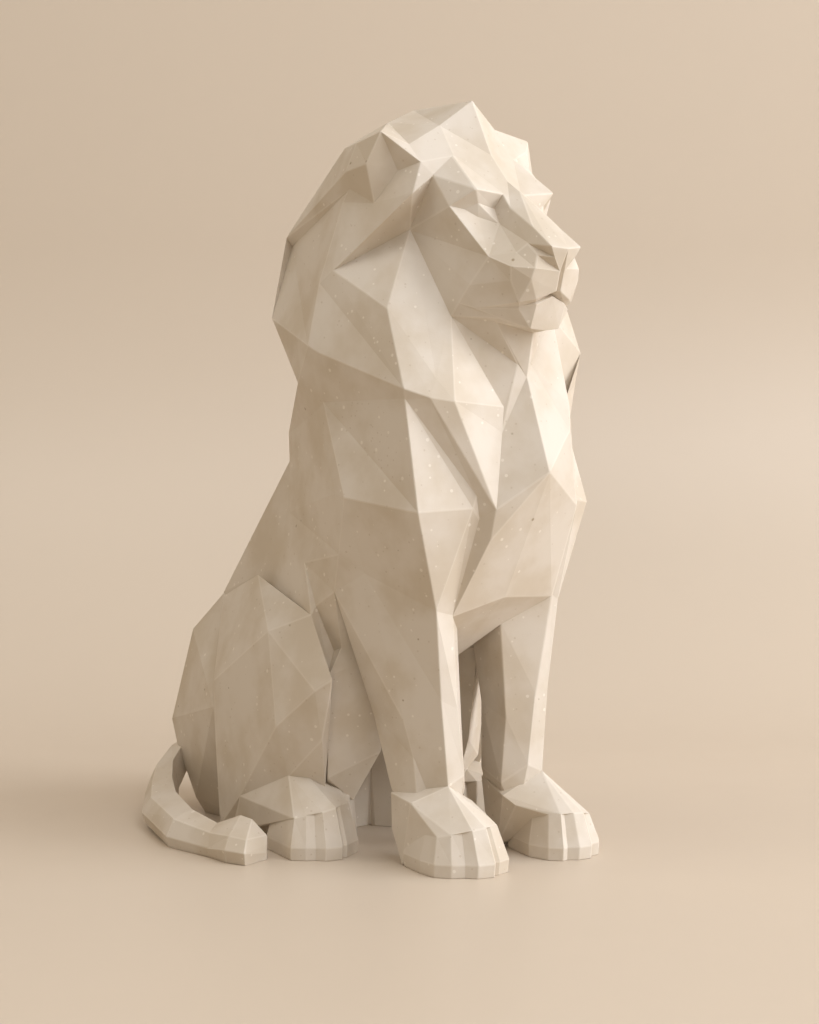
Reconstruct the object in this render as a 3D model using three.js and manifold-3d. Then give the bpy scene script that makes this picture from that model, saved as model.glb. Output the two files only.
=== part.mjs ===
// Faceted lion sculpture, seated upright with its forelegs straight, cast as one solid piece.
// Millimetres, +Z up. The lion looks along -Y, its right side is on -X, and the origin is the
// middle of its underside.

import * as THREE from "three";
import { ConvexGeometry } from "three/addons/geometries/ConvexGeometry.js";
import * as BufferGeometryUtils from "three/addons/utils/BufferGeometryUtils.js";
import Module from "manifold-3d";

// Driving dimensions
const PAW_EDGE = 7;
const SOLE_REACH = 0.98;
const TOE_GROOVE = 2;
const GROOVE_PLACE = 0.4;
const TOE_REACH = 0.8;
const TOE_TILT = 0.1;
const TOE_ROUND = 0.006;
const HEEL = [[19, 0], [14, -19], [-12, -20], [-21, 6]];
const TAIL_RIDGES = { outerFoot: [0.42, 0], outer: [0.5, 0.33], inner: [-0.3, 1], innerFoot: [-0.5, 0] };
const RIDGE_OUT = 0.28;
const SAME_POINT = 0.001;
const STONE = { color: "#d9cbb6", roughness: 0.62, metalness: 0 };

// Each mark is half-width, place along Y and height. It stands for a corner on both sides of
// the lion, and for one corner where the half-width is 0.

const crown = {
  crest: [0, -71, 400],
  crestBack: [0, -24, 398],
  crown: [20, -67, 386],
  crownBack: [25, -32, 389.5],
  notch: [0, -86, 370.5],
  temple: [23.5, -81.5, 369.5],
  hairTop: [40.5, -76, 366],
};

const brow = {
  browMid: [0, -98, 357],
  browInner: [9, -104, 349.5],
  browOuter: [27.5, -104, 351.5],
  outerBrow: [36, -80.5, 359],
  glabella: [0, -107, 351.5],
};

const eye = {
  lidOuter: [28.5, -96, 341.5],
  lidTop: [23, -101, 344.5],
  lidInner: [11, -100, 342],
  underLid: [23, -100.5, 337.5],
  eyeInner: [13.5, -106.5, 334],
  cheekTop: [35.5, -92.5, 343],
};

const nose = {
  noseRoot: [10.5, -111, 342.5],
  bridgeEdge: [11, -128.5, 332],
  noseTop: [0, -143, 321],
  noseSide: [10.5, -141.5, 322],
  nostrilFront: [7, -140.5, 316.5],
  nostrilBottom: [3, -138.5, 311],
  flapBack: [14, -128, 323.5],
  flapBottom: [13, -134, 317.5],
};

const muzzle = {
  philtrumTop: [0, -137, 309.5],
  philtrumBot: [0, -133.5, 299.5],
  philtrumEdgeTop: [1.5, -138.5, 309.5],
  philtrumEdgeBot: [1.5, -136, 299.5],
  muzTop: [15.5, -135, 311],
  muzMid: [16.5, -133.5, 305.5],
  muzBot: [11.5, -132, 295.5],
  muzBackTop: [23.5, -125.5, 312],
  muzBackMid: [22.5, -124.5, 305],
  muzSplit: [18.5, -124.5, 319],
  cheek: [28, -114, 317],
  cheekMid: [31, -103, 303],
};

const mouth = {
  mouthCorner: [27.5, -104, 291],
  lipUpper: [18.5, -126.5, 294],
  mouthMid: [16.5, -124.5, 292],
  mouthFront: [10, -129.5, 294],
  mouthCentre: [0, -129.5, 298],
  lipLower: [16.5, -124, 290.5],
  lipLowerSide: [10, -130.5, 293],
  lipLowerCentre: [0, -132, 297],
};

const jaw = {
  chinSide: [10, -126, 280.5],
  chinCentre: [0, -126, 279.5],
  chinThroat: [0, -118, 278.5],
  jawRidge: [20, -113, 286],
  jawMid: [18.5, -110, 284],
  jawTop: [32, -95.5, 293.5],
  jawBack: [32.5, -90.5, 287],
};

const ear = {
  earTip: [52.5, -58.5, 382],
  earRim: [40.5, -67, 375.5],
  earFold: [43.5, -61.5, 362],
  earBottom: [51, -51.5, 345.5],
  earRear: [57, -52, 365.5],
  behindEar: [49.5, -35.5, 377.5],
};

const maneSide = {
  bandTop: [56, -34.5, 362.5],
  bandLow: [52.5, -32.5, 353],
  sideTop: [53, -28.5, 347],
  lockTop: [47, -77.5, 350],
  creaseTop: [36, -62.5, 332],
  shoulderHood: [62.5, -32, 311],
  hoodBack: [64, -22, 304.5],
  hoodFront: [60.5, -73, 291],
  hoodTip: [65, -91, 250.5],
  backRidge: [72.5, -23, 272],
  ridgeLow: [72, -30.5, 268.5],
};

const maneBack = {
  napeTop: [39, -13, 376.5],
  napeLow: [37, 40, 331],
  backUpper: [33, 40, 326],
  backWide: [51, 35.5, 286.5],
  maneRear: [61.5, -0.5, 252],
  napeCentre: [0, 12, 380],
  backCentreHigh: [0, 46, 334],
  backCentreWide: [0, 66, 290],
  maneRearCentre: [0, 46, 246],
};

const shoulder = {
  shoulderPeak: [63, -89.5, 245.5],
  shoulderBack: [62.5, -23.5, 242],
  shoulderRear: [59, -13, 237],
  shoulderMid: [62.5, -99, 188],
  elbowRidge: [67.5, -39.5, 195],
  elbowFront: [70.5, -50, 193.5],
  elbowBack: [63, -36.5, 162.5],
  creaseLow: [30, -107.5, 195.5],
  lowerLockSide: [31.5, -106.5, 189],
  lowerLockEdge: [27, -106.5, 183.5],
};

const chest = {
  tuckIn: [55, -100, 246],
  jawLockBack: [49.5, -98.5, 255.5],
  jawLockSide: [44.5, -107, 244],
  jawLockFront: [12.5, -109, 240.5],
  jawLockMid: [14, -109.5, 227.5],
  jawLockTip: [23, -115, 188.5],
  throat: [0, -113.5, 256],
  throatSide: [5.5, -112, 262.5],
  breast: [0, -130.5, 207.5],
  innerKink: [23.5, -111.5, 172.5],
  keel: [0, -97, 140.5],
  keelBack: [0, -58.5, 105],
};

const back = {
  backMid: [36, 40, 223.5],
  backLow: [35.5, 40, 207],
  backFold: [39.5, 35.5, 179.5],
  waist: [30, 109, 128.5],
  waistSide: [37, 67.5, 142],
  flank: [52.5, 5.5, 154.5],
  flankLow: [62, -12, 128.5],
  flankFold: [58, -11, 133],
  bellyEdge: [48, -24, 93],
  kneeInner: [56, -20, 95],
  backCentreMid: [0, 50, 222],
  backCentreLow: [0, 56, 204],
  waistCentre: [0, 118, 126],
  bellyCentre: [0, -20, 100],
  bellyRear: [0, 20, 90],
  seatSide: [40, 20, 88],
  seatRearSide: [30, 96, 84],
  seatRear: [0, 104, 84],
};

// The foreleg is a six-sided shaft. Its corners run round it from the front of the inner side.
const forelegTop = {
  frontInner: [31.5, -91, 132],
  frontOuter: [45, -93.5, 136],
  outerRidge: [56.5, -50, 153],
  rearOuter: [60, -29, 142],
  rearInner: [22, -48, 111],
  innerRidge: [16, -76.5, 122.5],
};

const forelegRings = [
  [[28, -91, 83.5], [38.5, -90, 89], [45, -67.5, 76.5], [43, -41, 76], [22, -55, 78], [16, -81, 72]],
  [[23, -91, 48], [34, -90.5, 43.5], [41.5, -71.5, 57], [41.5, -52, 42], [23, -54, 42], [13, -80.5, 38]],
  [[22, -84, 20], [32, -84, 20], [41, -76, 20], [40, -60, 20], [24, -60, 20], [19, -78, 20]],
];

const facets = `
  crownBack crown crestBack
  crestBack crown crest
  crest crown notch
  crown temple notch
  temple browMid notch
  temple browInner browMid
  temple browOuter browInner
  browMid browInner noseRoot glabella
  glabella noseRoot bridgeEdge
  glabella bridgeEdge noseSide noseTop
  hairTop outerBrow temple
  outerBrow browOuter temple
  outerBrow cheekTop browOuter
  outerBrow creaseTop cheekTop
  cheekTop lidTop browOuter
  cheekTop lidOuter lidTop
  browOuter lidTop lidInner
  browOuter lidInner browInner
  browInner lidInner noseRoot
  noseRoot lidInner eyeInner
  lidOuter underLid lidTop
  lidTop underLid eyeInner
  lidTop eyeInner lidInner
  cheek underLid lidOuter cheekTop
  underLid cheek eyeInner
  noseRoot eyeInner flapBack bridgeEdge
  bridgeEdge flapBack noseSide
  flapBack flapBottom nostrilFront noseSide
  flapBottom nostrilBottom nostrilFront
  philtrumEdgeTop noseTop noseSide nostrilFront nostrilBottom
  philtrumEdgeTop philtrumTop noseTop
  flapBottom muzTop philtrumEdgeTop nostrilBottom
  cheek muzBackTop muzSplit eyeInner
  eyeInner muzSplit flapBack
  muzSplit muzBackTop muzTop flapBottom flapBack
  muzBackTop muzBackMid muzMid muzTop
  muzBackMid lipUpper muzMid
  muzMid lipUpper muzBot
  muzBackMid muzBackTop cheek
  muzBackMid cheek cheekMid
  cheekMid jawTop mouthCorner lipUpper muzBackMid
  muzMid muzBot philtrumEdgeBot philtrumEdgeTop muzTop
  philtrumTop philtrumEdgeTop philtrumEdgeBot philtrumBot
  mouthCorner mouthMid lipUpper
  lipUpper mouthMid mouthFront muzBot
  muzBot mouthFront mouthCentre philtrumBot philtrumEdgeBot
  mouthCorner lipLower mouthMid
  mouthMid lipLower lipLowerSide mouthFront
  mouthFront lipLowerSide lipLowerCentre mouthCentre
  mouthCorner jawTop jawRidge lipLower
  jawTop jawBack jawRidge
  jawBack jawMid jawRidge
  jawRidge jawMid chinSide
  jawRidge chinSide lipLower
  lipLower chinSide lipLowerSide
  lipLowerSide chinSide chinCentre lipLowerCentre
  chinSide jawMid chinThroat chinCentre
  creaseTop cheek cheekTop
  creaseTop jawBack jawTop cheekMid cheek
  crownBack behindEar earTip
  crownBack earTip earRim crown
  crown earRim temple
  earRim hairTop temple
  earTip hairTop earRim
  earTip earFold hairTop
  earFold earTip earRear earBottom
  behindEar bandTop earRear earTip
  bandTop bandLow earBottom earRear
  bandLow sideTop earBottom
  earFold earBottom lockTop hairTop
  earBottom sideTop shoulderHood lockTop
  sideTop hoodBack shoulderHood
  outerBrow hairTop lockTop
  outerBrow lockTop creaseTop
  lockTop shoulderHood creaseTop
  backUpper backRidge hoodBack sideTop bandLow
  napeLow backUpper bandLow bandTop
  behindEar napeTop napeLow bandTop
  crownBack napeTop behindEar
  crestBack napeCentre crownBack
  crownBack napeCentre napeTop
  napeTop napeCentre napeLow
  napeCentre backCentreHigh napeLow
  napeLow backCentreHigh backWide backUpper
  backCentreHigh backCentreWide backWide
  backWide backRidge backUpper
  backWide maneRear backRidge
  backWide backCentreWide maneRear
  backCentreWide maneRearCentre maneRear
  creaseTop shoulderHood hoodFront
  creaseTop hoodFront jawLockBack jawBack
  hoodFront hoodTip tuckIn jawLockBack
  shoulderHood hoodBack hoodTip hoodFront
  hoodBack backRidge ridgeLow hoodTip
  ridgeLow shoulderBack shoulderPeak hoodTip
  hoodTip shoulderPeak tuckIn
  backRidge maneRear shoulderRear shoulderBack ridgeLow
  maneRear backMid shoulderRear
  backMid elbowRidge shoulderRear
  shoulderRear elbowRidge elbowFront shoulderBack
  shoulderBack shoulderMid shoulderPeak
  shoulderBack elbowFront shoulderMid
  shoulderPeak shoulderMid lowerLockSide creaseLow
  tuckIn shoulderPeak creaseLow jawLockTip
  tuckIn jawLockTip jawLockSide
  tuckIn jawLockSide jawLockBack
  creaseLow lowerLockSide lowerLockEdge jawLockTip
  elbowRidge elbowBack elbowFront
  elbowFront elbowBack outerRidge
  elbowBack rearOuter outerRidge
  elbowFront outerRidge frontOuter shoulderMid
  shoulderMid frontOuter lowerLockSide
  lowerLockSide frontOuter frontInner lowerLockEdge
  jawBack jawLockSide jawLockFront
  jawLockBack jawLockSide jawBack
  jawLockMid jawLockFront jawLockSide jawLockTip
  jawBack jawLockFront throatSide
  throatSide jawLockFront jawLockMid
  throatSide jawLockMid throat
  throat jawLockMid breast
  jawLockMid jawLockTip breast
  jawBack throatSide jawMid
  jawMid throatSide throat chinThroat
  jawLockTip innerKink breast
  breast innerKink keel
  innerKink jawLockTip lowerLockEdge frontInner
  innerKink frontInner keel
  frontInner innerRidge keel
  keel innerRidge keelBack
  innerRidge rearInner keelBack
  maneRear maneRearCentre backMid
  maneRearCentre backCentreMid backMid
  backMid backCentreMid backLow
  backCentreMid backCentreLow backLow
  backLow backCentreLow waist
  backCentreLow waistCentre waist
  backMid backLow elbowRidge
  backLow backFold elbowRidge
  backFold elbowBack elbowRidge
  backFold flank elbowBack
  flank rearOuter elbowBack
  backLow waist waistSide backFold
  backFold waistSide flankLow flank
  flank flankLow flankFold
  flank flankFold rearOuter
  flankFold bellyEdge rearOuter
  rearOuter bellyEdge rearInner
  rearInner bellyCentre keelBack
  rearInner bellyEdge bellyCentre
  flankFold flankLow kneeInner bellyEdge
  bellyEdge seatSide bellyRear bellyCentre
  bellyEdge kneeInner seatSide
  kneeInner flankLow waistSide seatSide
  waistSide waist seatRearSide seatSide
  waist waistCentre seatRear seatRearSide
  seatSide seatRearSide seatRear bellyRear
`;

// Marks of the left side that stand apart from their twins on the right
const leftMarks = {
  frontOuter: [42.5, -93.5, 136],
  hoodTip: [60, -88, 250.5],
  shoulderMid: [59.5, -98, 188],
  earRim: [42, -68.5, 375.5],
  temple: [21.5, -80, 369.5],
  hairTop: [38.5, -74, 366],
  earRear: [58, -56.5, 365],
  earFold: [44.5, -57.5, 362],
  browOuter: [29.5, -102, 351.5],
  lockTop: [51.5, -77.5, 350],
  browInner: [6.5, -102.5, 349.5],
  earBottom: [54.5, -55.5, 345],
  cheekTop: [34, -90.5, 343],
  lidInner: [11.5, -101.5, 342],
  bridgeEdge: [8, -128.5, 332],
  creaseTop: [47.5, -74.5, 331.5],
  lipLowerSide: [11, -129.5, 293],
  hoodFront: [57, -84.5, 291],
  lipLower: [17.5, -125, 290.5],
  jawBack: [36, -94.5, 287],
  jawMid: [15, -106.5, 284],
  jawLockBack: [60.5, -91.5, 268],
  throatSide: [5.5, -110, 262.5],
  tuckIn: [44, -98, 246],
  jawLockSide: [50, -92, 241],
  jawLockFront: [26.5, -117.5, 241],
  jawLockMid: [22.5, -122, 228],
  shoulderPeak: [50, -93, 226],
  creaseLow: [36, -106, 196.5],
  lowerLockSide: [44, -106, 190],
  jawLockTip: [36, -113.5, 188],
  lowerLockEdge: [43, -106, 184],
  innerKink: [20, -110.5, 172],
  frontInner: [37.5, -93.5, 138],
  innerRidge: [14.5, -78, 123],
};

// Corners of the hind quarters. Each list is one mass, the smallest block around its corners.
const haunch = [
  [42.5, 92.5, 128.5],
  [47.5, 53.5, 144],
  [71, 14, 118],
  [62, -12, 128.5],
  [72, -27.5, 90],
  [78, -1.5, 68.5],
  [65, 72, 84],
  [67.5, -36.5, 96.5],
  [66, -26, 63],
  [60, -24, 62],
  [70, -2.5, 41],
  [63, -10, 41],
  [56, -16, 34],
  [74, 36, 25],
  [69, 61, 4],
  [63, 75, 68.5],
  [20, 90, 124],
  [36, 24, 103],
  [30, 18, 30],
  [26, 56, 4],
];

const bellyFold = [
  [42, -16, 131],
  [46, -30, 129],
  [30, -44, 112],
  [34, -31.5, 67],
  [32, -34, 54],
  [38, -18, 26],
  [46, -16.5, 33],
  [50, -22, 64],
  [12, -10, 100],
  [40, 20, 112],
  [12, 14, 60],
  [36, 14, 20],
  [58, -22, 96],
  [55, -17, 40],
];

const hock = [
  [8, 18, 0],
  [16, 5, 0],
  [42, -24, 0],
  [62, -20, 0],
  [62, 60, 0],
  [8, 60, 0],
  [8, 24, 62],
  [18, 9, 57],
  [40, -14, 50],
  [60, -6, 36],
  [62, 60, 40],
  [8, 60, 40],
];

const seat = [
  [30, 109, 128],
  [40, 126, 106],
  [44, 142, 52],
  [44, 136.5, 37],
  [46, 116, 9],
  [63, 75.5, 68.5],
  [42, 112, 0],
  [0, 118, 127],
  [0, 140, 103],
  [0, 155, 49],
  [0, 140, 0],
  [40, 30, 100],
  [42, 60, 0],
  [12, 22, 0],
  [12, 22, 60],
];

// Paws: the middle of each, and the corners of its three toes seen from above, going round from
// the inner toe, each as how far out and how far forward of that middle it stands
const rightForepaw = {
  across: 34,
  along: -90,
  instep: 24.8,
  toes: [[[-18.5, 27.5], [-10, 29.5]], [[-4.5, 32], [5, 29.5]], [[15, 20], [20, 12]]],
};

const leftForepaw = {
  across: 38,
  along: -92,
  instep: 24,
  toes: [[[-19.5, 19.5], [-14.5, 26]], [[-6, 29.5], [2, 30.5]], [[11.5, 26.5], [17, 21]]],
};

const hindPaw = {
  across: 62,
  along: -9,
  instep: 27,
  toes: [[[-19, 19.5], [-5, 27]], [[0, 29.5], [9.5, 27]], [[17, 19.5], [22.5, 13]]],
};

// Corners of the ankles, which join each paw to its leg
const foreAnkle = [
  [50, -79, 35],
  [34, -90.5, 43.5],
  [11, -84, 32],
  [13, -92, 27.5],
  [42, -54, 36],
  [24, -53, 37],
  [44, -57, 17.5],
  [24, -56, 17.5],
  [46.5, -68, 0],
  [24, -66, 0],
];

const hindAnkle = [
  [74, 36, 25],
  [70, -2.5, 41],
  [63, -10, 41],
  [56, -16, 34],
  [46, -16.5, 33],
  [38, -14, 26],
  [72, 44, 4],
  [66, 50, 20],
  [40, 50, 20],
  [40, 50, 0],
];

// Sections of the tail from the rump to its tip: place across and along, width, base, top,
// height of the outer ridge as a share of the section's own, and the angle that the section is
// turned by, seen from above
const tail = [
  { across: 18, along: 141, width: 18, base: 32, top: 46, ridge: 0.8, turn: 95 },
  { across: 42, along: 139, width: 16, base: 24, top: 39, ridge: 0.8, turn: 75 },
  { across: 58, along: 130, width: 18, base: 14, top: 31, ridge: 0.8, turn: 60 },
  { across: 72, along: 113, width: 21, base: 8, top: 25, ridge: 0.8, turn: 55 },
  { across: 86, along: 92, width: 24, base: 3, top: 21, ridge: 0.8, turn: 40 },
  { across: 104, along: 48, width: 22, base: 0, top: 19, ridge: 0.8, turn: 0 },
  { across: 105, along: 18, width: 20, base: 0, top: 16, ridge: 0.8, turn: -35 },
  { across: 103, along: 2, width: 28, base: 0, top: 22, ridge: 0.62, turn: -30 },
  { across: 101, along: -8, width: 28, base: 0, top: 21, ridge: 0.62, turn: -42 },
  { across: 90, along: -9, width: 8, base: 0, top: 12, ridge: 0.62, turn: -48 },
];

const marks = {
  ...crown, ...brow, ...eye, ...nose, ...muzzle, ...mouth, ...jaw, ...ear,
  ...maneSide, ...maneBack, ...shoulder, ...chest, ...back, ...forelegTop,
};

const RIGHT = -1;
const LEFT = 1;

const wasm = await Module();
wasm.setup();

function point([across, along, up], side) {
  return new THREE.Vector3(side * across, along, up);
}

// Splits flat polygons into triangles and merges their corners into one closed body.
function solidFromPolygons(polygons) {
  const corners = [];
  for (const polygon of polygons) {
    for (let i = 1; i < polygon.length - 1; i += 1) {
      corners.push(polygon[0], polygon[i], polygon[i + 1]);
    }
  }
  return solidFromGeometry(new THREE.BufferGeometry().setFromPoints(corners));
}

function solidFromGeometry(geometry) {
  geometry.deleteAttribute("normal");
  geometry.deleteAttribute("uv");
  const merged = BufferGeometryUtils.mergeVertices(geometry, SAME_POINT);
  const mesh = new wasm.Mesh({
    numProp: 3,
    vertProperties: new Float32Array(merged.getAttribute("position").array),
    triVerts: new Uint32Array(merged.getIndex().array),
  });
  return new wasm.Manifold(mesh);
}

function hull(points) {
  return solidFromGeometry(new ConvexGeometry(points));
}

// Joins rings that have the same number of corners. The rings run upward, and each goes round
// clockwise seen from above on the right side.
function walls(rings, side) {
  const polygons = [];
  for (let level = 1; level < rings.length; level += 1) {
    const low = rings[level - 1];
    const high = rings[level];
    low.forEach((corner, i) => {
      const next = (i + 1) % low.length;
      polygons.push(facing([low[i], high[i], high[next], low[next]], side));
    });
  }
  return polygons;
}

function facing(polygon, side) {
  return side === RIGHT ? polygon : [...polygon].reverse();
}

function sideOfBody(side) {
  const own = side === LEFT ? { ...marks, ...leftMarks } : marks;
  const polygons = facets.trim().split("\n").map((line) => {
    const polygon = line.trim().split(/\s+/).map((name) => point(own[name], side));
    return facing(polygon, side);
  });
  const lower = [...forelegRings].reverse().map((ring) => ring.map((corner) => point(corner, side)));
  const rings = [...lower, Object.keys(forelegTop).map((name) => point(own[name], side))];
  const sole = facing(rings[0], side);
  return [...polygons, ...walls(rings, side), sole];
}

function body() {
  return solidFromPolygons([...sideOfBody(RIGHT), ...sideOfBody(LEFT)]);
}

// The toe line with its two grooves, closed behind by the paw's sides
function pawOutline(toes) {
  const line = [];
  toes.forEach((toe, i) => {
    line.push(...toe);
    if (i < toes.length - 1) {
      const [fromOut, fromForward] = toe.at(-1);
      const [toOut, toForward] = toes[i + 1][0];
      line.push([
        THREE.MathUtils.lerp(fromOut, toOut, GROOVE_PLACE),
        THREE.MathUtils.lerp(fromForward, toForward, GROOVE_PLACE) - TOE_GROOVE,
      ]);
    }
  });
  return [...line, ...HEEL];
}

function paw({ across, along, instep, toes }, ankle, side) {
  const outline = pawOutline(toes);
  const ring = (reach, heightAt) => outline.map(([out, forward]) => (
    point([across + reach * out, along - reach * forward, heightAt(out)], side)
  ));
  const shoulderOfToe = (out) => instep - TOE_TILT * out - TOE_ROUND * out * out;
  const rings = [ring(SOLE_REACH, () => 0), ring(1, () => PAW_EDGE), ring(TOE_REACH, shoulderOfToe)];
  const toeSolid = solidFromPolygons([
    facing(rings[0], side),
    ...walls(rings, side),
    facing([...rings[2]].reverse(), side),
  ]);
  const heel = ankle.map((corner) => point(corner, side));
  return toeSolid.add(hull([...rings[2], ...heel]));
}

function tailSection({ across, along, width, base, top, ridge, turn }) {
  const angle = THREE.MathUtils.degToRad(turn);
  const { outerFoot, outer, inner, innerFoot } = TAIL_RIDGES;
  const profile = [outerFoot, outer, [RIDGE_OUT, ridge], inner, innerFoot];
  return profile.map(([out, up]) => point([
    across + out * width * Math.cos(angle),
    along + out * width * Math.sin(angle),
    THREE.MathUtils.lerp(base, top, up),
  ], RIGHT));
}

// A closed rope of sections, with a flat end on its first and last
function rope(sections) {
  const rings = sections.map(tailSection);
  return solidFromPolygons([rings[0], ...walls(rings, RIGHT), [...rings.at(-1)].reverse()]);
}

function hindLeg(side) {
  const parts = [haunch, bellyFold, hock].map((corners) => hull(corners.map((c) => point(c, side))));
  return parts.reduce((whole, part) => whole.add(part));
}

function lionSolid() {
  const seatHull = hull([...seat.map((c) => point(c, RIGHT)), ...seat.map((c) => point(c, LEFT))]);
  const parts = [seatHull, rope(tail)];
  for (const side of [RIGHT, LEFT]) {
    parts.push(hindLeg(side), paw(hindPaw, hindAnkle, side));
  }
  parts.push(paw(rightForepaw, foreAnkle, RIGHT), paw(leftForepaw, foreAnkle, LEFT));
  return parts.reduce((whole, part) => whole.add(part), body());
}

function lionGeometry() {
  const { vertProperties, triVerts } = lionSolid().getMesh();
  const geometry = new THREE.BufferGeometry();
  geometry.setAttribute("position", new THREE.BufferAttribute(new Float32Array(vertProperties), 3));
  geometry.setIndex(new THREE.BufferAttribute(new Uint32Array(triVerts), 1));
  geometry.computeBoundingBox();
  const middle = geometry.boundingBox.getCenter(new THREE.Vector3());
  geometry.translate(-middle.x, -middle.y, -geometry.boundingBox.min.z);
  return geometry;
}

const lion = new THREE.Mesh(lionGeometry(), new THREE.MeshStandardMaterial(STONE));
lion.name = "lion";

const sculpture = new THREE.Group();
sculpture.add(lion);
export default sculpture;
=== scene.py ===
"""Seated lion carved in flat facets from pale cast stone, in a plain warm studio."""

import logging
import math
from dataclasses import dataclass
from enum import Enum
from typing import Any

import bmesh
import bpy
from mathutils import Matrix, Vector


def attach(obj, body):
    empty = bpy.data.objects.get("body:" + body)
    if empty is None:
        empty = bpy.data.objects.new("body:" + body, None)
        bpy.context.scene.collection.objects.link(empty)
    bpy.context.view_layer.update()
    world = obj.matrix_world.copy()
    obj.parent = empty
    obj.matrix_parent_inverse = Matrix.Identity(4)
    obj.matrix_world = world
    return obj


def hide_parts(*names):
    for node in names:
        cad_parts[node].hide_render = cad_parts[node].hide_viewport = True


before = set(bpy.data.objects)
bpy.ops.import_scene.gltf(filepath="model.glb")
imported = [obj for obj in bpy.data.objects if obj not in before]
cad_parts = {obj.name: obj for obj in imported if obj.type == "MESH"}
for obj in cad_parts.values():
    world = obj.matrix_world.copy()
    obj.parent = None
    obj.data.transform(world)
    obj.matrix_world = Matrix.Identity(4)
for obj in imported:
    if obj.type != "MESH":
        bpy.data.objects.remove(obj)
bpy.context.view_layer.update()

LOG = logging.getLogger("lion")
MM = 0.001
ARRIS = "arris_highlight"
AIM = (0.0, 0.0, 0.2)
BEARING = (0.6561, 0.7547)


def linear(code: str) -> tuple[float, float, float, float]:
    """Turn an sRGB hex colour into the linear colour that Blender's sockets take.

    Args:
        code: Colour as "#RRGGBB".

    Returns:
        Linear red, green, blue and an alpha of one.
    """
    channels = [int(code[place : place + 2], 16) / 255 for place in (1, 3, 5)]
    bright = [c / 12.92 if c <= 0.04045 else ((c + 0.055) / 1.055) ** 2.4 for c in channels]
    return (bright[0], bright[1], bright[2], 1.0)


def add_node(
    tree: bpy.types.NodeTree,
    kind: str,
    settings: dict[str, Any] | None = None,
    inputs: dict[str | int, Any] | None = None,
) -> bpy.types.Node:
    """Add one node with its settings, and fill or link its inputs.

    Args:
        tree: Node tree that takes the node.
        kind: Blender's type name of the node.
        settings: Properties of the node, by name.
        inputs: Values, or output sockets to link from, by input name or place.

    Returns:
        The new node.
    """
    node = tree.nodes.new(kind)
    for name, value in (settings or {}).items():
        setattr(node, name, value)
    for name, value in (inputs or {}).items():
        if isinstance(value, bpy.types.NodeSocket):
            tree.links.new(value, node.inputs[name])
        else:
            node.inputs[name].default_value = value
    return node


def new_tree(name: str) -> tuple[bpy.types.Material, bpy.types.NodeTree]:
    """Start a material with an empty node tree.

    Args:
        name: Name of the material.

    Returns:
        The material and its node tree.
    """
    material = bpy.data.materials.new(name)
    material.use_nodes = True
    material.node_tree.nodes.clear()
    return material, material.node_tree


@dataclass(frozen=True)
class Speck:
    """One kind of soft round speck in the stone.

    The widest radius is a share of the spacing, and the shift keeps one kind off another.
    """

    colour: str
    spacing_mm: float
    widest: float
    shift: float
    strength: float
    bare: float = 0.45
    rim: tuple[float, float] = (-0.01, 0.05)

    def mask(
        self, tree: bpy.types.NodeTree, place: bpy.types.NodeSocket
    ) -> bpy.types.NodeSocket:
        """Scatter the specks, one at most in each cell.

        Args:
            tree: Node tree of the material.
            place: Position on the stone.

        Returns:
            Mask that is one inside a speck and zero outside.
        """
        moved = add_node(
            tree,
            "ShaderNodeVectorMath",
            {"operation": "ADD"},
            {0: place, 1: (self.shift, self.shift, self.shift)},
        )
        cells = add_node(
            tree,
            "ShaderNodeTexVoronoi",
            {"feature": "F1"},
            {"Vector": moved.outputs[0], "Scale": 1 / (self.spacing_mm * MM), "Randomness": 1.0},
        )
        pick = add_node(tree, "ShaderNodeSeparateColor", {}, {"Color": cells.outputs["Color"]})
        radius = add_node(
            tree,
            "ShaderNodeMapRange",
            {},
            {
                "Value": pick.outputs["Red"],
                "From Min": self.bare,
                "From Max": 1.0,
                "To Min": 0.0,
                "To Max": self.widest,
            },
        )
        inside = add_node(
            tree,
            "ShaderNodeMath",
            {"operation": "SUBTRACT"},
            {0: radius.outputs["Result"], 1: cells.outputs["Distance"]},
        )
        mask = add_node(
            tree,
            "ShaderNodeMapRange",
            {"interpolation_type": "SMOOTHSTEP"},
            {"Value": inside.outputs[0], "From Min": self.rim[0], "From Max": self.rim[1]},
        )
        return mask.outputs["Result"]


GRAIN = Speck("#A99478", 3.6, 0.2, 0.0, 0.32)
CHALK = Speck("#EFE8DC", 5.2, 0.22, 0.37, 0.45)
# Air pits: sunk by the bump, and coloured darker as painted shade in the hollows.
PIT_AND_PAINTED_SHADE = Speck("#8B7656", 11.0, 0.11, 0.71, 0.7)


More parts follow.
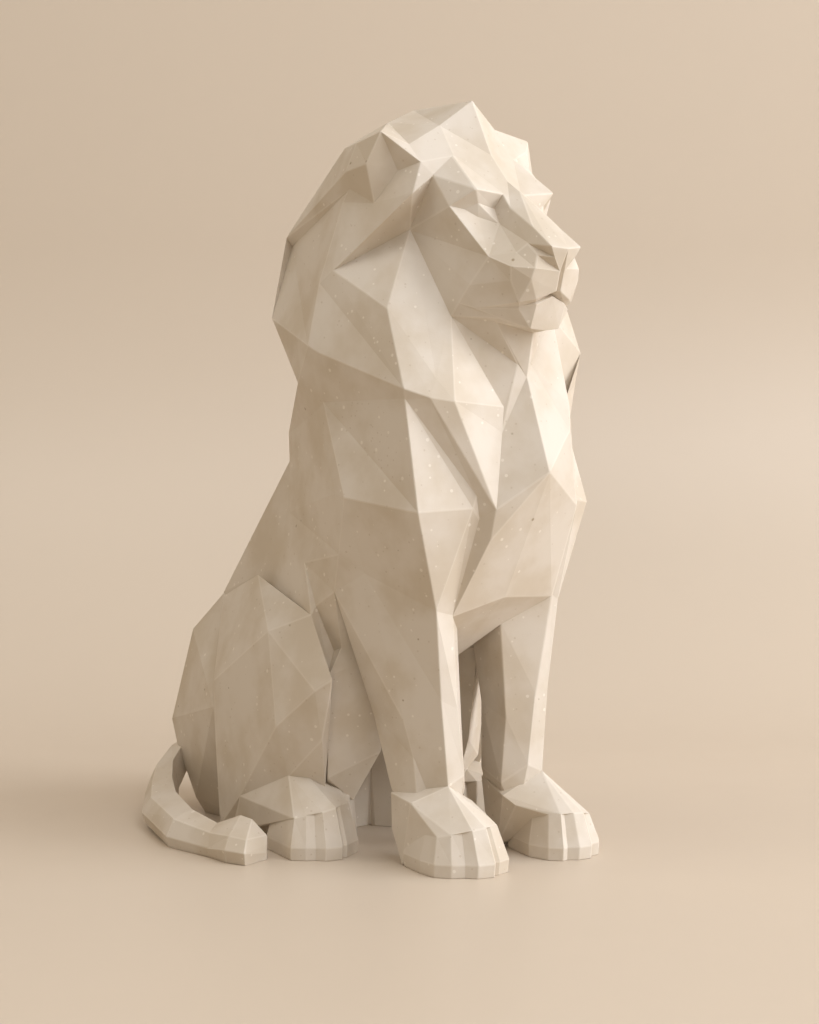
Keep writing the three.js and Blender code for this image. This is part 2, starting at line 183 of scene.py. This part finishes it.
@dataclass(frozen=True)
class HonedCastStone:
    """Cast limestone, honed: matt and pale, with sand grains and small air pits; the pits are
    coloured darker as painted shade, and the rounded edges paler as a painted highlight.
    """

    name: str = "honed cast limestone"
    body: str = "#D3C9BB"
    cloud: str = "#C8BBA8"
    cloud_mm: float = 38.0
    cloud_range: tuple[float, float] = (0.38, 0.66)
    cloud_detail: float = 4.0
    cloud_roughness: float = 0.55
    # Paler colour laid on the rounded edges: a painted highlight that stands in for the light the
    # rounding catches.
    arris_highlight: str = "#EDE5D9"
    arris_highlight_share: float = 0.18
    tooth_mm: float = 0.9
    tooth_detail: float = 2.0
    tooth_roughness: float = 0.6
    roughness: float = 0.62
    roughness_spread: float = 0.07
    roughness_range: tuple[float, float] = (0.3, 0.7)
    pit_depth: float = 2.0
    relief_share: float = 0.25
    relief_mm: float = 0.12
    ior: float = 1.5

    def mixed(
        self,
        tree: bpy.types.NodeTree,
        share: bpy.types.NodeSocket,
        under: bpy.types.NodeSocket,
        over: str,
        most: float,
    ) -> bpy.types.NodeSocket:
        """Lay one colour over another where a mask is set.

        Args:
            tree: Node tree of the material.
            share: Mask of the upper colour.
            under: Colour below.
            over: Hex colour on top.
            most: Largest share that the upper colour takes.

        Returns:
            The mixed colour.
        """
        scaled = add_node(tree, "ShaderNodeMath", {"operation": "MULTIPLY"}, {0: share, 1: most})
        mix = add_node(
            tree,
            "ShaderNodeMix",
            {"data_type": "RGBA"},
            {0: scaled.outputs[0], 6: under, 7: linear(over)},
        )
        return mix.outputs[2]

    def build(self) -> bpy.types.Material:
        """Make the material.

        Returns:
            Material that reads the eased edges from the face attribute ARRIS and paints a lighter
            highlight on them.
        """
        material, tree = new_tree(self.name)
        place = add_node(tree, "ShaderNodeTexCoord").outputs["Object"]
        drift = add_node(
            tree,
            "ShaderNodeTexNoise",
            {},
            {
                "Vector": place,
                "Scale": 1 / (self.cloud_mm * MM),
                "Detail": self.cloud_detail,
                "Roughness": self.cloud_roughness,
            },
        )
        banks = add_node(
            tree,
            "ShaderNodeMapRange",
            {"interpolation_type": "SMOOTHSTEP"},
            {
                "Value": drift.outputs["Fac"],
                "From Min": self.cloud_range[0],
                "From Max": self.cloud_range[1],
            },
        )
        base = add_node(
            tree,
            "ShaderNodeMix",
            {"data_type": "RGBA"},
            {0: banks.outputs["Result"], 6: linear(self.body), 7: linear(self.cloud)},
        )
        colour = base.outputs[2]
        masks = {}
        # Grains and chalk are the stone's own colour; the darker colour of the pits is painted
        # shade.
        for speck in (GRAIN, CHALK, PIT_AND_PAINTED_SHADE):
            masks[speck] = speck.mask(tree, place)
            colour = self.mixed(tree, masks[speck], colour, speck.colour, speck.strength)
        # Painted highlight: the faces of the rounded edges are lightened, standing in for the light
        # that the rounding catches.
        eased = add_node(
            tree, "ShaderNodeAttribute", {"attribute_name": ARRIS, "attribute_type": "GEOMETRY"}
        )
        colour = self.mixed(tree, eased.outputs["Fac"], colour, self.arris_highlight, self.arris_highlight_share)
        tooth = add_node(
            tree,
            "ShaderNodeTexNoise",
            {},
            {
                "Vector": place,
                "Scale": 1 / (self.tooth_mm * MM),
                "Detail": self.tooth_detail,
                "Roughness": self.tooth_roughness,
            },
        )
        worn = add_node(
            tree,
            "ShaderNodeMapRange",
            {},
            {
                "Value": drift.outputs["Fac"],
                "From Min": self.roughness_range[0],
                "From Max": self.roughness_range[1],
                "To Min": self.roughness - self.roughness_spread,
                "To Max": self.roughness + self.roughness_spread,
            },
        )
        sunk = add_node(
            tree,
            "ShaderNodeMath",
            {"operation": "MULTIPLY_ADD"},
            {0: masks[PIT_AND_PAINTED_SHADE], 1: -self.pit_depth, 2: tooth.outputs["Fac"]},
        )
        relief = add_node(
            tree,
            "ShaderNodeBump",
            {},
            {
                "Strength": self.relief_share,
                "Distance": self.relief_mm * MM,
                "Height": sunk.outputs[0],
            },
        )
        shader = add_node(
            tree,
            "ShaderNodeBsdfPrincipled",
            {},
            {
                "Base Color": colour,
                "Roughness": worn.outputs["Result"],
                "IOR": self.ior,
                "Normal": relief.outputs["Normal"],
            },
        )
        add_node(tree, "ShaderNodeOutputMaterial", {}, {"Surface": shader.outputs[0]})
        return material


@dataclass(frozen=True)
class PaintedBoard:
    """Board painted in satin emulsion: nearly even, with a faint soft mirror of the feet."""

    name: str = "satin painted board"
    paint: str = "#CABCAA"
    roughness: float = 0.42
    roughness_spread: float = 0.05
    ripple_mm: float = 60.0
    ripple_detail: float = 2.0
    ior: float = 1.45

    def build(self) -> bpy.types.Material:
        """Make the material of the studio floor and wall.

        Returns:
            The material.
        """
        material, tree = new_tree(self.name)
        place = add_node(tree, "ShaderNodeTexCoord").outputs["Object"]
        ripple = add_node(
            tree,
            "ShaderNodeTexNoise",
            {},
            {
                "Vector": place,
                "Scale": 1 / (self.ripple_mm * MM),
                "Detail": self.ripple_detail,
            },
        )
        sheen = add_node(
            tree,
            "ShaderNodeMapRange",
            {},
            {
                "Value": ripple.outputs["Fac"],
                "To Min": self.roughness - self.roughness_spread,
                "To Max": self.roughness + self.roughness_spread,
            },
        )
        shader = add_node(
            tree,
            "ShaderNodeBsdfPrincipled",
            {},
            {
                "Base Color": linear(self.paint),
                "Roughness": sheen.outputs["Result"],
                "IOR": self.ior,
            },
        )
        add_node(tree, "ShaderNodeOutputMaterial", {}, {"Surface": shader.outputs[0]})
        return material


class Fold(Enum):
    """How two facets meet."""

    ARRIS = "outward edge, eased"
    CREASE = "inward edge, left tight"
    FLAT = "too flat to read as an edge"


@dataclass
class StoneLion:
    """The whole animal: one carved solid whose outward edges are slightly rounded."""

    node: str = "lion"
    name: str = "lion_stone"
    slot: str = "stone"
    weld: float = 0.01 * MM
    flat: float = math.radians(1.0)
    faint: float = math.radians(11.0)
    easing: float = 0.55 * MM
    share: float = 0.15
    steps: int = 3
    roundness: float = 0.5

    def fold(self, edge: bmesh.types.BMEdge) -> Fold:
        """Tell how the two facets at an edge meet.

        Args:
            edge: Edge between two facets.

        Returns:
            The kind of fold.
        """
        turn = edge.calc_face_angle_signed(0.0)
        if abs(turn) < self.faint:
            return Fold.FLAT
        return Fold.ARRIS if turn > 0 else Fold.CREASE

    def facets(self) -> bpy.types.Mesh:
        """Merge a copy of the solid's loose triangles into flat facets, and mark its outward edges.

        Returns:
            Mesh of flat facets with a bevel weight on every edge.
        """
        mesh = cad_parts[self.node].data.copy()
        shape = bmesh.new()
        shape.from_mesh(mesh)
        bmesh.ops.remove_doubles(shape, verts=shape.verts, dist=self.weld)
        bmesh.ops.dissolve_degenerate(shape, edges=shape.edges, dist=self.weld)
        bmesh.ops.dissolve_limit(
            shape,
            angle_limit=self.flat,
            use_dissolve_boundaries=False,
            verts=shape.verts,
            edges=shape.edges,
        )
        bmesh.ops.recalc_face_normals(shape, faces=shape.faces)
        weight = shape.edges.layers.float.new("bevel_weight_edge")
        for edge in shape.edges:
            if self.fold(edge) is not Fold.ARRIS:
                continue
            around = [other.calc_length() for end in edge.verts for other in end.link_edges]
            edge[weight] = min(1.0, self.share * min(around) / self.easing)
        shape.to_mesh(mesh)
        shape.free()
        mesh.materials.clear()
        return mesh

    def ease(self, mesh: bpy.types.Mesh) -> bpy.types.Mesh:
        """Round the marked edges, and mark the faces of the rounding.

        Args:
            mesh: Flat facets with a bevel weight on every edge.

        Returns:
            Mesh whose face attribute ARRIS is one on the rounded edges, where the material paints a
            highlight.
        """
        rough = bpy.data.objects.new("lion_rough", mesh)
        bpy.context.scene.collection.objects.link(rough)
        bevel = rough.modifiers.new("eased edges", "BEVEL")
        bevel.limit_method = "WEIGHT"
        bevel.width = self.easing
        bevel.segments = self.steps
        bevel.profile = self.roundness
        bevel.use_clamp_overlap = False
        # Two empty slots tell the rounding from the flats by its slot number.
        mesh.materials.append(None)
        mesh.materials.append(None)
        bevel.material = 1
        graph = bpy.context.evaluated_depsgraph_get()
        eased = bpy.data.meshes.new_from_object(rough.evaluated_get(graph), depsgraph=graph)
        bpy.data.objects.remove(rough)
        shape = bmesh.new()
        shape.from_mesh(eased)
        arris_highlight = shape.faces.layers.float.new(ARRIS)
        for face in shape.faces:
            face[arris_highlight] = float(face.material_index)
            face.material_index = 0
            face.smooth = False
        shape.to_mesh(eased)
        shape.free()
        eased.materials.clear()
        return eased

    def build(self) -> bpy.types.Object:
        """Make the piece, dress it and set it in place of the plain solid.

        Returns:
            The finished piece.
        """
        mesh = self.ease(self.facets())
        mesh.name = self.name
        piece = bpy.data.objects.new(self.name, mesh)
        bpy.context.scene.collection.objects.link(piece)
        # Cast limestone, cut flat and honed: a matt pale skin with sand grains, chalk and pits.
        mesh.materials.append(HonedCastStone().build())
        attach(piece, "root")
        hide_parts(self.node)
        return piece


@dataclass(frozen=True)
class SoftBox:
    """One large soft light that faces a point."""

    name: str
    place: tuple[float, float, float]
    aim: tuple[float, float, float]
    size: tuple[float, float]
    watts: float
    tint: tuple[float, float, float]

    def build(self) -> bpy.types.Object:
        """Make the light.

        Returns:
            The light's object, turned towards its aim.
        """
        data = bpy.data.lights.new(self.name, "AREA")
        data.shape = "RECTANGLE"
        data.size, data.size_y = self.size
        data.energy = self.watts
        data.color = self.tint
        lamp = bpy.data.objects.new(self.name, data)
        bpy.context.scene.collection.objects.link(lamp)
        lamp.location = self.place
        ray = Vector(self.aim) - Vector(self.place)
        lamp.rotation_mode = "QUATERNION"
        lamp.rotation_quaternion = ray.to_track_quat("-Z", "Y")
        return lamp


LIGHTS = (
    SoftBox("high key", (0.072, -1.798, 2.345), AIM, (2.0, 2.0), 52.0, (0.95, 0.96, 1.0)),
    SoftBox("low key", (1.66, -2.101, 1.019), AIM, (2.0, 1.4), 66.0, (0.95, 0.96, 1.0)),
    SoftBox("top fill", (-0.9, 0.1, 2.3), AIM, (1.2, 1.2), 10.0, (1.0, 0.95, 0.88)),
    SoftBox("side fill", (-1.45, 1.01, 1.14), AIM, (1.2, 1.0), 7.0, (1.0, 0.88, 0.72)),
    SoftBox("front fill", (-1.38, -1.39, 0.62), AIM, (1.2, 1.0), 5.5, (1.0, 0.92, 0.8)),
)


@dataclass
class Studio:
    """Pale floor and wall in one sweep, and the soft lights."""

    bearing: tuple[float, float] = BEARING
    front: float = 1.5
    back: float = 0.3
    half: float = 3.2
    rise: float = 3.0
    cove: float = 0.35
    cove_steps: int = 16
    glow: str = "#CDB79B"
    glow_strength: float = 0.12

    def sweep(self) -> bpy.types.Object:
        """Make the floor that curves up into the wall.

        Returns:
            The backdrop.
        """
        along = Vector((*self.bearing, 0.0))
        aside = Vector((self.bearing[1], -self.bearing[0], 0.0))
        shape = bmesh.new()
        first = -self.front * along - self.half * aside
        start = shape.verts.new(first)
        other = shape.verts.new(first + 2 * self.half * aside)
        edge = shape.edges.new((start, other))
        upward = Vector((0.0, 0.0, 1.0))
        part = math.pi / 2 / self.cove_steps
        moves = [along * (self.front + self.back)]
        for step in range(self.cove_steps):
            turn = (step + 0.5) * part
            moves.append(self.cove * part * (math.cos(turn) * along + math.sin(turn) * upward))
        moves.append(self.rise * upward)
        edges = [edge]
        for move in moves:
            grown = bmesh.ops.extrude_edge_only(shape, edges=edges)["geom"]
            corners = [item for item in grown if isinstance(item, bmesh.types.BMVert)]
            bmesh.ops.translate(shape, vec=move, verts=corners)
            edges = [item for item in grown if isinstance(item, bmesh.types.BMEdge)]
        bmesh.ops.recalc_face_normals(shape, faces=shape.faces)
        mesh = bpy.data.meshes.new("studio_sweep")
        shape.to_mesh(mesh)
        shape.free()
        for face in mesh.polygons:
            face.use_smooth = True
        sweep = bpy.data.objects.new("studio_sweep", mesh)
        bpy.context.scene.collection.objects.link(sweep)
        # Emulsion on board, rolled on: an even pale ground that mirrors the feet faintly.
        mesh.materials.append(PaintedBoard().build())
        return sweep

    def surround(self) -> bpy.types.World:
        """Give the room its even warm light.

        Returns:
            The world.
        """
        world = bpy.data.worlds.new("warm room")
        world.use_nodes = True
        ground = world.node_tree.nodes["Background"]
        ground.inputs["Color"].default_value = linear(self.glow)
        ground.inputs["Strength"].default_value = self.glow_strength
        bpy.context.scene.world = world
        return world

    def build(self) -> list[bpy.types.Object]:
        """Make the sweep, the room light and the lamps.

        Returns:
            The sweep and the lamps.
        """
        self.surround()
        return [self.sweep()] + [light.build() for light in LIGHTS]


@dataclass(frozen=True)
class Viewpoint:
    """Camera at the photograph's angle, low and to the lion's right."""

    place: tuple[float, float, float] = (-0.8472, -1.0189, 0.279)
    bearing: tuple[float, float] = BEARING
    dip: float = math.radians(4.27)
    lens: float = 84.8

    def build(self) -> bpy.types.Object:
        """Make the camera.

        Returns:
            The scene's camera.
        """
        data = bpy.data.cameras.new("viewpoint")
        data.lens = self.lens
        camera = bpy.data.objects.new("viewpoint", data)
        bpy.context.scene.collection.objects.link(camera)
        camera.location = self.place
        level = math.cos(self.dip)
        ray = Vector((self.bearing[0] * level, self.bearing[1] * level, -math.sin(self.dip)))
        camera.rotation_mode = "QUATERNION"
        camera.rotation_quaternion = ray.to_track_quat("-Z", "Y")
        bpy.context.scene.camera = camera
        return camera


def main() -> None:
    """Build the viewpoint, the studio and the lion, and report each piece."""
    logging.basicConfig(level=logging.INFO, format="%(name)s: %(message)s")
    bpy.context.scene.view_settings.view_transform = "Standard"
    LOG.info("camera %s", Viewpoint().build().name)
    for item in Studio().build():
        LOG.info("studio %s", item.name)
    lion = StoneLion().build()
    LOG.info("piece %s: %d faces", lion.name, len(lion.data.polygons))


if __name__ == "__main__":
    main()
